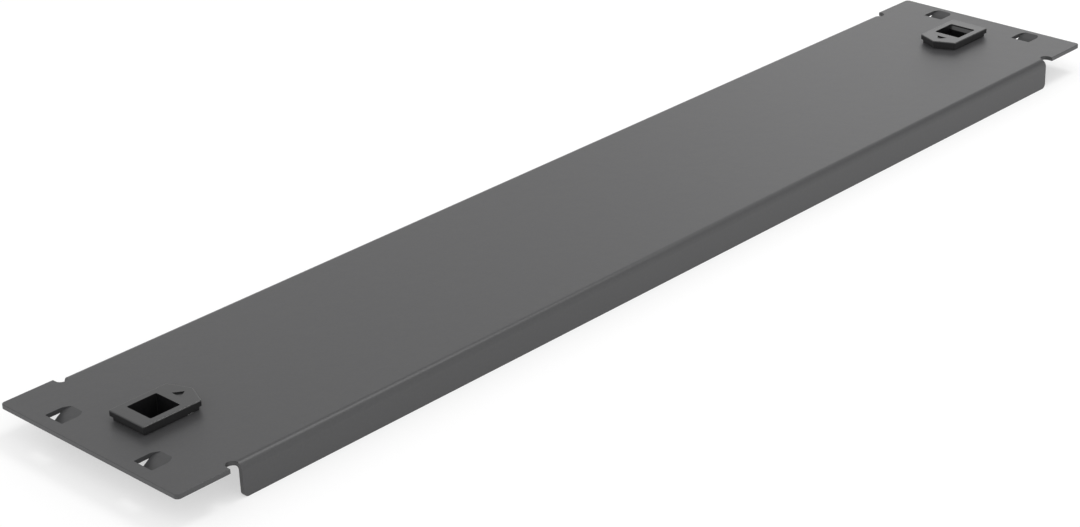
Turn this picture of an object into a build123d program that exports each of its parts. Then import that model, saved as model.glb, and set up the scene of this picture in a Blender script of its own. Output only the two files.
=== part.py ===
from build123d import *
import math
import os

# A blanking panel that closes two free units of a 19 inch rack and goes in without tools.
# It is one black steel sheet with both long edges folded back, four hook tabs pressed out of its
# ears, and two moulded latches that slide along it and reach behind the rack rails.
# X runs along the panel, Y across it, Z out of the face. The flange edges lie on Z = 0.

# Folded sheet
panel_length = 482.6
panel_width = 88.1
flange_depth = 12.0
sheet = 1.6
bend_inner_radius = 1.2
corner_radius = 1.6
flange_corner_radius = 1.8
edge_round = 0.25

# Ears, and the relief slots between an ear and the folds
ear_length = 20.5
relief_width = 4.4
relief_reach = 3.9

# Rack rails behind the ears
rail_hole_pitch = 44.45
rail_cover = 16.3
rail_thickness = 2.0
rail_play = 0.2

# Hook tabs, each pressed out of its own window in the ear
hook_inset = 8.1
window_length = 7.0
window_width = 8.8
window_corner_radius = 0.4
lance_gap = 0.2
crease_setback = 2.2
crease_width = 5.0
root_slope = 21
root_run = 3.3
tab_slope = 34
knee_radius = 4.0
tab_foot_radius = 0.8
tab_tongue = 1.1
tab_corner_radius = 0.8

# Sliding latches: finger plate in front
plate_length = 23.0
plate_width = 17.4
plate_thickness = 2.0
plate_gap = 1.4
plate_overhang = 0.3
point_length = 3.6
plate_edge_round = 0.35
plate_corner_round = 0.5
base_inset = 0.7

# Latch neck, which is a closed finger pocket whose outer side slopes in
outer_bar = 5.0
pocket_length = 11.8
pocket_width = 12.0
pocket_depth = 8.9
pocket_corner_radius = 0.6
slope_start = 0.6
neck_wall = 1.2
side_wall = 0.5
pocket_floor = 1.2
latch_travel = 3.5
slide_gap = 0.2
glide_gap = 0.1

# Snap legs outside the pocket's side walls, and the tongue behind the rail
leg_width = 6.0
leg_thickness = 0.7
leg_slit = 0.5
barb_reach = 0.8
barb_lip = 0.5
barb_height = 2.2
tongue_reach = 3.0
tongue_width = 11.0
tongue_thickness = 2.9
tongue_lead = 1.0
tongue_corner_radius = 1.5

# Arrow mark sunk in the finger plate
arrow_length = 3.4
arrow_width = 4.6
arrow_depth = 0.5

half_length = panel_length / 2
half_width = panel_width / 2
face_z = flange_depth
back_z = face_z - sheet
bend_outer_radius = bend_inner_radius + sheet
relief_x = half_length - ear_length - relief_width / 2
hook_x = half_length - hook_inset
crease_x = window_length / 2 + crease_setback
rail_edge_x = half_length - rail_cover

# The right latch: its plate from the pointed end to the rail, and its neck below the window
plate_outer_x = rail_edge_x + plate_overhang
plate_inner_x = plate_outer_x - plate_length
neck_outer_x = plate_outer_x - outer_bar
window_inner_x = neck_outer_x - pocket_length
window_x = (window_inner_x + neck_outer_x) / 2
neck_inner_x = window_inner_x - neck_wall
leg_inner_y = pocket_width / 2 + side_wall + leg_slit
neck_half_width = leg_inner_y + leg_thickness
plate_low_z = face_z + plate_gap
plate_top_z = plate_low_z + plate_thickness
pocket_low_z = plate_top_z - pocket_depth
neck_low_z = pocket_low_z - pocket_floor


def box_between(x0, x1, y0, y1, z0, z1):
    """A box from its lowest to its highest corner."""
    middle = Pos((x0 + x1) / 2, (y0 + y1) / 2, (z0 + z1) / 2)
    return middle * Box(x1 - x0, y1 - y0, z1 - z0)


def folded_face():
    """The face with its two flanges: one bent section drawn along X, to the middle of the reliefs."""
    top = Align.CENTER, Align.MAX
    outer = Rectangle(panel_width, flange_depth, align=top)
    outer = fillet(outer.vertices().group_by(Axis.Y)[-1], bend_outer_radius)
    inner = Rectangle(panel_width - 2 * sheet, flange_depth, align=top)
    inner = fillet(inner.vertices().group_by(Axis.Y)[-1], bend_inner_radius)
    section = outer - Pos(0, -sheet) * inner
    across = Plane(origin=(0, 0, face_z), x_dir=(0, 1, 0), z_dir=(1, 0, 0))
    return extrude(across * section, relief_x, both=True)


def ear():
    """The flat ear on the +X side, with its outer rim eased as a thick coat eases it."""
    outline = Pos((relief_x + half_length) / 2, 0) * Rectangle(half_length - relief_x, panel_width)
    outline = fillet(outline.vertices().group_by(Axis.X)[-1], corner_radius)
    flat = Pos(0, 0, back_z) * extrude(outline, sheet)
    rim = [edge for edge in flat.edges().group_by(Axis.Z)[-1] if edge.center().X > relief_x + edge_round]
    return fillet(rim, edge_round)


def reliefs():
    """The round-ended slots that part the ears from the bends, so that the bends end cleanly."""
    slot = extrude(SlotOverall(2 * relief_reach, relief_width, rotation=90), face_z + sheet)
    return [Pos(x, y) * slot for x in (-relief_x, relief_x) for y in (-half_width, half_width)]


def folded_sheet():
    """The folded blank: the face and its flanges, both ears, and the reliefs between them."""
    right_ear = ear()
    blank = folded_face() + right_ear + mirror(right_ear, about=Plane.YZ)
    blank -= reliefs()
    free_corners = blank.edges().filter_by(Axis.Y).group_by(Axis.Z)[0]
    return fillet(free_corners, flange_corner_radius)


def hook_places():
    """Where the hook windows stand: at the middle hole of each unit, over both rails."""
    columns = (-hook_x, hook_x)
    rows = (-rail_hole_pitch / 2, rail_hole_pitch / 2)
    return [Pos(x, y, face_z) for x in columns for y in rows]


def hook_window():
    """The cut for a tab, seen from the middle of its window. The tab hangs on its round +X side."""
    half_window = window_width / 2
    round_x = crease_x - math.sqrt(half_window**2 - (crease_width / 2) ** 2)
    straight_length = round_x + window_length / 2
    straight = Pos(round_x - straight_length / 2, 0) * Rectangle(straight_length, window_width)
    free_side = straight.vertices().group_by(Axis.X)[0]
    straight = fillet(free_side, window_corner_radius)
    past_crease = Pos(crease_x + half_window, 0) * Rectangle(window_width, window_width)
    round_end = Pos(round_x, 0) * Circle(half_window) - past_crease
    return Pos(0, 0, -2 * sheet) * extrude(straight + round_end, 3 * sheet)


def hook_tab():
    """A tab that slopes down past the rail and runs on behind it, as one bent strip of the sheet."""
    drop = sheet + rail_thickness + rail_play
    knee_x = crease_x - root_run
    knee_drop = root_run * math.tan(math.radians(root_slope))
    foot_x = knee_x - (drop - knee_drop) / math.tan(math.radians(tab_slope))
    points = [(crease_x, 0), (knee_x, -knee_drop), (foot_x, -drop), (foot_x - tab_tongue, -drop)]
    top = FilletPolyline(*points, radius=[knee_radius, tab_foot_radius])
    section = Plane.XZ * make_face(offset(top, sheet, side=Side.LEFT).edges())
    tab = extrude(section, window_width / 2 - lance_gap, both=True)
    tip_corners = tab.edges().filter_by(Axis.Z).group_by(Axis.X)[0]
    tab = fillet(tip_corners, tab_corner_radius)
    half_root = window_width / 2 + lance_gap
    root = extrude(section, half_root, both=True)
    return tab + (root & box_between(window_length / 2, half_length, -half_root, half_root, -2 * drop, sheet))


def latch_slot():
    """The slot that the right latch slides in. The finger plate hides it over the whole travel."""
    x0 = neck_inner_x - latch_travel - slide_gap
    x1 = neck_outer_x + slide_gap
    y1 = neck_half_width + slide_gap
    return box_between(x0, x1, -y1, y1, back_z - sheet, face_z + sheet)


def sheet_panel():
    """The whole sheet part: folded, pierced, and with its hook tabs."""
    panel = folded_sheet()
    window = hook_window()
    tab = hook_tab()
    slot = latch_slot()
    panel -= [place * window for place in hook_places()]
    panel += [place * tab for place in hook_places()]
    return panel - [slot, mirror(slot, about=Plane.YZ)]


def plate_outline(inset):
    """The finger plate seen from the front, pointed towards the middle of the panel."""
    half_plate = plate_width / 2
    corners = [
        (plate_outer_x, -half_plate),
        (plate_outer_x, half_plate),
        (plate_inner_x, half_plate),
        (plate_inner_x - point_length, 0),
        (plate_inner_x, -half_plate),
    ]
    outline = make_face(Polyline(*corners, close=True))
    if inset:
        outline = offset(outline, -inset, kind=Kind.INTERSECTION)
    return fillet(outline.vertices(), plate_corner_round)


def finger_plate():
    """The plate in front of the face, and the base below it that glides on the face."""
    plate = Pos(0, 0, plate_low_z) * extrude(plate_outline(0), plate_thickness)
    plate = fillet(plate.edges().group_by(Axis.Z)[-1], plate_edge_round)
    base = Pos(0, 0, face_z + glide_gap) * extrude(plate_outline(base_inset), plate_gap - glide_gap)
    return plate + base


def arrow_mark():
    """The sunken triangle between the window and the point."""
    middle_x = (window_inner_x + plate_inner_x - point_length) / 2
    base_x = middle_x + arrow_length / 2
    tip_x = middle_x - arrow_length / 2
    corners = [(base_x, -arrow_width / 2), (base_x, arrow_width / 2), (tip_x, 0)]
    outline = make_face(Polyline(*corners, close=True))
    return Pos(0, 0, plate_top_z - arrow_depth) * extrude(outline, 2 * arrow_depth)


def neck():
    """The block that goes through the slot in the sheet."""
    y1 = neck_half_width
    return box_between(neck_inner_x, neck_outer_x, -y1, y1, neck_low_z, plate_low_z)


def finger_pocket():
    """The square window and the pocket below it, which slopes in over its outer wall."""
    window = Pos(window_x, 0) * Rectangle(pocket_length, pocket_width)
    window = fillet(window.vertices(), pocket_corner_radius)
    well = Pos(0, 0, pocket_low_z) * extrude(window, 2 * pocket_depth)
    slope_top_z = plate_top_z - slope_start
    wall_x = neck_outer_x - neck_wall
    profile = [
        (neck_outer_x, 0, slope_top_z),
        (wall_x, 0, slope_top_z - neck_wall),
        (wall_x, 0, neck_low_z),
        (neck_outer_x, 0, neck_low_z),
    ]
    section = make_face(Polyline(*profile, close=True))
    return well - extrude(section, pocket_width / 2, both=True)


def leg_cuts(side):
    """The slits on both sides of a snap leg and between it and the side wall of the pocket."""
    wall_y = leg_inner_y - leg_slit
    half_leg = leg_width / 2
    half_cut = half_leg + leg_slit
    top_z = face_z - glide_gap
    slits = []
    for x0, x1, far_y in (
        (window_x - half_cut, window_x - half_leg, neck_half_width),
        (window_x + half_leg, window_x + half_cut, neck_half_width),
        (window_x - half_cut, window_x + half_cut, leg_inner_y),
    ):
        y0, y1 = sorted((side * wall_y, side * far_y))
        slits.append(box_between(x0, x1, y0, y1, neck_low_z, top_z))
    return slits


def barb(side):
    """The wedge on a snap leg that catches behind the sheet."""
    top_z = back_z - glide_gap
    wall = neck_half_width
    root = wall - leg_thickness / 2
    profile = [
        (0, side * root, top_z),
        (0, side * (wall + barb_reach), top_z),
        (0, side * (wall + barb_reach), top_z - barb_lip),
        (0, side * wall, top_z - barb_height),
        (0, side * root, top_z - barb_height),
    ]
    section = make_face(Polyline(*profile, close=True))
    return Pos(window_x, 0, 0) * extrude(section, leg_width / 2, both=True)


def rail_tongue():
    """The tongue that lies behind the rail while the latch is closed."""
    tip_x = rail_edge_x + tongue_reach
    top_z = back_z - rail_thickness - rail_play
    half_tongue = tongue_width / 2
    low_z = top_z - tongue_thickness
    root_x = neck_outer_x - neck_wall
    tongue = box_between(root_x, tip_x, -half_tongue, half_tongue, low_z, top_z)
    tongue = fillet(tongue.edges().filter_by(Axis.Z).group_by(Axis.X)[-1], tongue_corner_radius)
    lead_edges = tongue.edges().group_by(Axis.Z)[-1].group_by(Axis.X)[-1]
    return chamfer(lead_edges, tongue_lead)


def right_latch():
    """The latch on the +X side, as one moulding. A pull towards the middle frees it."""
    latch = finger_plate() + neck() - finger_pocket() - arrow_mark()
    for side in (-1, 1):
        latch -= leg_cuts(side)
        latch += barb(side)
    return latch + rail_tongue()


def closed_solid(shape):
    """The single solid of a piece, without the wrapping that its making left round it."""
    solids = shape.solids()
    return solids[0] if len(solids) == 1 else shape


right = right_latch()
pieces = {
    "panel": sheet_panel(),
    "right_latch": right,
    "left_latch": mirror(right, about=Plane.YZ),
}

os.makedirs("parts", exist_ok=True)
for name, shape in pieces.items():
    piece = closed_solid(shape)
    piece.label = name
    export_step(piece, f"parts/{name}.step")
    size = piece.bounding_box().size
    print(f"{name}: {size.X:.1f} x {size.Y:.1f} x {size.Z:.1f} mm, {piece.volume / 1000:.2f} cm3")
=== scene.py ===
# %% [markdown]
# # A rack blanking panel in Blender
# The object is a black steel panel that closes a free place in an equipment rack. It has two
# moulded latches that slide. Its shapes are already made to size in CAD, so this lesson gives them
# their finishes, a floor, light and a camera. Blender works in metres here, in the CAD's own frame:
# X runs along the panel, Y across it and Z out of its face. The panel lies on Z = 0.

# %% Load the CAD model
import math
import bpy
from mathutils import Matrix, Vector


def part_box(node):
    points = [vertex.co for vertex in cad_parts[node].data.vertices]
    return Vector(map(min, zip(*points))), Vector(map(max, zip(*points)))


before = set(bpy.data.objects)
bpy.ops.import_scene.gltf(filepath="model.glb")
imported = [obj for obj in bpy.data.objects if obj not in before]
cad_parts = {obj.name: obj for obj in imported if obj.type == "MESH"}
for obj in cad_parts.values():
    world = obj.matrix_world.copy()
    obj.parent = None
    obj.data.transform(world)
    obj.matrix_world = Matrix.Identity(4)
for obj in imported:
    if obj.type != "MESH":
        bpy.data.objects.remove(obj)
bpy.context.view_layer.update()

print("nodes:", sorted(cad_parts))

# %% [markdown]
# ## Sizes
# A drawing gives sizes in millimetres, and Blender's units are metres. One value turns the first
# into the second, and what the CAD already knows is read from its boxes and not typed again.

# %% Sizes read from the CAD
MM = 0.001
panel_low, panel_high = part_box("panel")
floor_z = panel_low.z
face_z = panel_high.z
print(f"panel {(panel_high.x - panel_low.x) / MM:.1f} mm long, face at {face_z / MM:.1f} mm")


# %% [markdown]
# ## Colour
# Colour pickers show sRGB hex values, which are spaced as the eye sees them. A renderer adds light,
# so it needs linear values. One function does the change, and every colour below goes through it.

# %% Turn a hex colour to linear
def linear(hex_colour):
    """The linear red, green, blue and alpha of a hex colour such as #2d2e2f."""
    channels = [int(hex_colour[i:i + 2], 16) / 255 for i in (1, 3, 5)]
    return [c / 12.92 if c <= 0.04045 else ((c + 0.055) / 1.055) ** 2.4 for c in channels] + [1.0]


print("mid grey:", [round(c, 3) for c in linear("#808080")])


# %% [markdown]
# ## Nodes
# A Blender material is a small network of nodes. Adding a node, setting it and joining it up is the
# same work each time, so one function does all three: settings are the node's own choices, and
# inputs are its sockets, each given a value or the output socket that feeds it.

# %% Add a node with its settings and links
def add_node(tree, kind, settings=None, inputs=None):
    """A new node in a tree. An input that is given a socket is linked, and any other is set."""
    node = tree.nodes.new(kind)
    for name, value in (settings or {}).items():
        setattr(node, name, value)
    for name, value in (inputs or {}).items():
        if isinstance(value, bpy.types.NodeSocket):
            tree.links.new(value, node.inputs[name])
        else:
            node.inputs[name].default_value = value
    return node


def new_material(name):
    """An empty material, with the tree that its nodes go into."""
    material = bpy.data.materials.new(name)
    material.use_nodes = True
    material.node_tree.nodes.clear()
    print("made material", name)
    return material, material.node_tree


# %% [markdown]
# ## Powder coat
# The steel is sprayed with dry polyester powder and baked. The powder melts into a tough skin that
# doesn't level out, so the black sheet has a fine pebbled grain and a low gloss. The eye reads it
# as grey where it mirrors a bright room at a low angle, and as black where it mirrors the dark.
# A Principled shader with a dark base, the refraction of a polyester and a middling roughness does
# that by itself. The grain is bump: a noise as wide as the pebbles, over a slower one for the
# slight unevenness of the film.

# %% Material: black fine-textured powder coat
GRAIN_MM = 0.9    # real pebbles are about 0.3 mm; drawn coarser, or they are lost between pixels
GRAIN_HEIGHT_MM = 0.01
FILM_WAVE_MM = 6.0    # the slow waves of a baked powder film are a few millimetres long
FILM_HEIGHT_MM = 0.04

powder_coat, tree = new_material("powder_coated_steel")
place = add_node(tree, "ShaderNodeTexCoord").outputs["Object"]
pebbles = add_node(
    tree,
    "ShaderNodeTexNoise",
    inputs={"Vector": place, "Scale": 1 / (GRAIN_MM * MM), "Detail": 2.0, "Roughness": 0.55},
)
film = add_node(
    tree,
    "ShaderNodeTexNoise",
    inputs={"Vector": place, "Scale": 1 / (FILM_WAVE_MM * MM), "Detail": 1.0},
)
film_bump = add_node(
    tree,
    "ShaderNodeBump",
    inputs={"Height": film.outputs["Fac"], "Distance": FILM_HEIGHT_MM * MM, "Strength": 1.0},
)
coat_bump = add_node(
    tree,
    "ShaderNodeBump",
    inputs={
        "Height": pebbles.outputs["Fac"],
        "Distance": GRAIN_HEIGHT_MM * MM,
        "Strength": 1.0,
        "Normal": film_bump.outputs["Normal"],
    },
)
coat_tone = add_node(
    tree,
    "ShaderNodeMix",
    settings={"data_type": "RGBA"},
    inputs={"Factor": pebbles.outputs["Fac"], "A": linear("#3b3b3c"), "B": linear("#434344")},
)
coat = add_node(
    tree,
    "ShaderNodeBsdfPrincipled",
    inputs={
        "Base Color": coat_tone.outputs["Result"],
        "Roughness": 0.42,
        "IOR": 1.5,
        "Normal": coat_bump.outputs["Normal"],
    },
)
add_node(tree, "ShaderNodeOutputMaterial", inputs={"Surface": coat.outputs["BSDF"]})
print("pebbles", GRAIN_MM, "mm wide over film waves", FILM_WAVE_MM, "mm long")

# %% [markdown]
# ## Moulded plastic
# The latches are injection moulded in glass-filled nylon. The mould is spark eroded, which leaves a
# very fine, even grain and no pebbles. The plastic is a deeper black than the coat and smoother, so
# the plates look as grey as the face where they mirror the room, while their sides, which mirror
# only the dark face, look black. Nylon's own IOR is 1.53. A higher one is used here, because the
# plates of the real object are as bright as the coat beside them.

# %% Material: black moulded nylon
MOULD_GRAIN_MM = 0.5    # a spark-eroded grain is about 0.05 mm; drawn coarser, as the pebbles are
MOULD_HEIGHT_MM = 0.006

nylon, tree = new_material("latch_plastic")
place = add_node(tree, "ShaderNodeTexCoord").outputs["Object"]
grain = add_node(
    tree,
    "ShaderNodeTexNoise",
    inputs={"Vector": place, "Scale": 1 / (MOULD_GRAIN_MM * MM), "Detail": 3.0},
)
grain_bump = add_node(
    tree,
    "ShaderNodeBump",
    inputs={"Height": grain.outputs["Fac"], "Distance": MOULD_HEIGHT_MM * MM, "Strength": 1.0},
)
plastic_tone = add_node(
    tree,
    "ShaderNodeMix",
    settings={"data_type": "RGBA"},
    inputs={"Factor": grain.outputs["Fac"], "A": linear("#121213"), "B": linear("#181819")},
)
plastic = add_node(
    tree,
    "ShaderNodeBsdfPrincipled",
    inputs={
        "Base Color": plastic_tone.outputs["Result"],
        "Roughness": 0.31,
        "IOR": 1.65,
        "Normal": grain_bump.outputs["Normal"],
    },
)
add_node(tree, "ShaderNodeOutputMaterial", inputs={"Surface": plastic.outputs["BSDF"]})
print("mould grain", MOULD_GRAIN_MM, "mm wide")

# %% [markdown]
# ## Dressing the pieces
# The folded sheet is painted as one piece, with its hook tabs on it, and each latch is one moulding.
# So each piece wears one finish all over, also behind the sheet. The shapes stay as the CAD made
# them: a finish goes into a piece's material slots and changes nothing else.

# %% Give each CAD piece its finish
finishes = {"panel": powder_coat, "left_latch": nylon, "right_latch": nylon}
for node, finish in finishes.items():
    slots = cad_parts[node].material_slots
    for slot in slots:
        slot.material = finish
    print(node, "wears", finish.name, "in", len(slots), "slots")

# %% [markdown]
# ## Floor
# A catalogue picture stands on paper so white that it can't be told from the background. The floor
# is one large plane, and the sky around it is as white, so the two meet without a line.

# %% Floor
FLOOR_HALF = 4.0

floor_mesh = bpy.data.meshes.new("floor")
signs = [(-1, -1), (1, -1), (1, 1), (-1, 1)]
corners = [(x * FLOOR_HALF, y * FLOOR_HALF, floor_z) for x, y in signs]
floor_mesh.from_pydata(corners, [], [(0, 1, 2, 3)])
floor = bpy.data.objects.new("floor", floor_mesh)
bpy.context.scene.collection.objects.link(floor)
print("floor", 2 * FLOOR_HALF, "m square at", floor_z)

# %% [markdown]
# ## Paper
# The floor is white matt paper, which scatters light evenly and has no gloss. What the camera sees
# of it also glows a little, and so does what a gloss mirrors of it. The soft shadow of the panel
# stays on it, but faint, and no lamp has to be turned up for that.

# %% Material: white matt paper
GLOW_SHARE = 0.55

paper, tree = new_material("floor_paper")
matt = add_node(tree, "ShaderNodeBsdfDiffuse", inputs={"Color": linear("#ffffff")})
glow = add_node(tree, "ShaderNodeEmission", inputs={"Color": linear("#ffffff"), "Strength": 1.0})
light_path = add_node(tree, "ShaderNodeLightPath")
seen = light_path.outputs["Is Camera Ray"]
for ray in ("Is Glossy Ray", "Is Transmission Ray"):
    either = add_node(
        tree,
        "ShaderNodeMath",
        settings={"operation": "MAXIMUM"},
        inputs={0: seen, 1: light_path.outputs[ray]},
    )
    seen = either.outputs[0]
share = add_node(
    tree,
    "ShaderNodeMath",
    settings={"operation": "MULTIPLY"},
    inputs={0: seen, 1: GLOW_SHARE},
)
paper_mix = add_node(
    tree,
    "ShaderNodeMixShader",
    inputs={0: share.outputs[0], 1: matt.outputs["BSDF"], 2: glow.outputs["Emission"]},
)
add_node(tree, "ShaderNodeOutputMaterial", inputs={"Surface": paper_mix.outputs["Shader"]})
floor_mesh.materials.append(paper)
print("paper glows by", GLOW_SHARE, "where it is seen")

# %% [markdown]
# ## Light from all sides
# The picture was lit by a white tent: light comes from all sides, so nothing throws a hard shadow,
# and every black surface mirrors white. The world does that by itself. A tent has gaps, and two of
# them matter here, because dark gloss shows what it mirrors: one darkens the far half of the near
# bend, and the other the hook tabs at the far end. A gap is a round patch of the sky that fades in
# from its rim, found by how close a direction lies to its middle.

# %% World
WORLD_STRENGTH = 1.07
GAP_STRENGTH = 0.25
GAP_CORE = math.radians(12)
GAP_RIM = math.radians(32)
gap_directions = [
    Vector((0.80, -0.10, 0.60)),    # what the far half of the near bend mirrors
    Vector((0.25, 0.42, 0.87)),     # what the far hook tabs mirror
]

world = bpy.data.worlds.new("white_tent")
bpy.context.scene.world = world
world.use_nodes = True
world.node_tree.nodes.clear()
tree = world.node_tree
sky_direction = add_node(tree, "ShaderNodeTexCoord").outputs["Generated"]
strength = WORLD_STRENGTH
for gap in gap_directions:
    nearness = add_node(
        tree,
        "ShaderNodeVectorMath",
        settings={"operation": "DOT_PRODUCT"},
        inputs={0: sky_direction, 1: gap.normalized()},
    )
    brightness = add_node(
        tree,
        "ShaderNodeMapRange",
        settings={"interpolation_type": "SMOOTHSTEP"},
        inputs={
            "Value": nearness.outputs["Value"],
            "From Min": math.cos(GAP_RIM),
            "From Max": math.cos(GAP_CORE),
            "To Min": strength,
            "To Max": GAP_STRENGTH,
        },
    )
    strength = brightness.outputs["Result"]
sky = add_node(tree, "ShaderNodeBackground", inputs={"Color": linear("#ffffff"), "Strength": strength})
add_node(tree, "ShaderNodeOutputWorld", inputs={"Surface": sky.outputs["Background"]})
print("world", world.name, "with", len(gap_directions), "dim gaps")


# %% [markdown]
# ## Soft boxes
# Two soft boxes stand in the tent. One hangs overhead and draws the highlight along the near bend.
# The other stands low behind the right end, where the face mirrors it at a low angle, so that the
# face grows lighter towards it. Both are round area lamps, whose mirror images have no corners.

# %% Soft boxes
BOX_DISTANCE = 1.4


def soft_box(name, power_w, size, direction):
    """A round area lamp that faces the middle of the panel from a direction."""
    lamp = bpy.data.lights.new(name, "AREA")
    lamp.shape = "DISK"
    lamp.size = size
    lamp.energy = power_w
    box = bpy.data.objects.new(name, lamp)
    box.location = direction.normalized() * BOX_DISTANCE
    box.rotation_euler = direction.to_track_quat("Z", "Y").to_euler()
    bpy.context.scene.collection.objects.link(box)
    print("lamp", name, power_w, "W")


soft_box("overhead_box", power_w=5.0, size=0.5, direction=Vector((0.40, -0.12, 0.90)))
soft_box("low_back_box", power_w=0.62, size=0.7, direction=Vector((0.86, 0.42, 0.27)))

# %% [markdown]
# ## Camera
# The picture was taken from the front left, a good way off with a long lens, so the far end is
# only a little smaller than the near one. A camera is easiest to place by the point that it looks
# at, its distance and two angles. The last angle is a slight roll, because the picture isn't level.

# %% Camera
LENS_MM = 84.24
AZIMUTH = math.radians(-45.63)
ELEVATION = math.radians(25.40)
ROLL = math.radians(-2.06)
CAMERA_DISTANCE = 0.8785
CLIP_START = 0.05
aim = Vector((-57.6 * MM, -17.05 * MM, face_z))

turn = Matrix.Rotation(AZIMUTH, 4, "Z")
tilt = Matrix.Rotation(math.pi / 2 - ELEVATION, 4, "X")
roll = Matrix.Rotation(ROLL, 4, "Z")
pose = Matrix.Translation(aim) @ turn @ tilt @ Matrix.Translation((0, 0, CAMERA_DISTANCE)) @ roll

camera_data = bpy.data.cameras.new("camera")
camera_data.lens = LENS_MM
camera_data.clip_start = CLIP_START
camera = bpy.data.objects.new("camera", camera_data)
camera.matrix_world = pose
bpy.context.scene.collection.objects.link(camera)
bpy.context.scene.camera = camera
print("camera at", [round(v, 3) for v in pose.translation])

# %% [markdown]
# ## Colour management
# The Standard view shows a colour as it is written, with no film look over it, which is right for a
# part that has to match under any other light.

# %% View transform
bpy.context.scene.view_settings.view_transform = "Standard"
print("view transform:", bpy.context.scene.view_settings.view_transform)
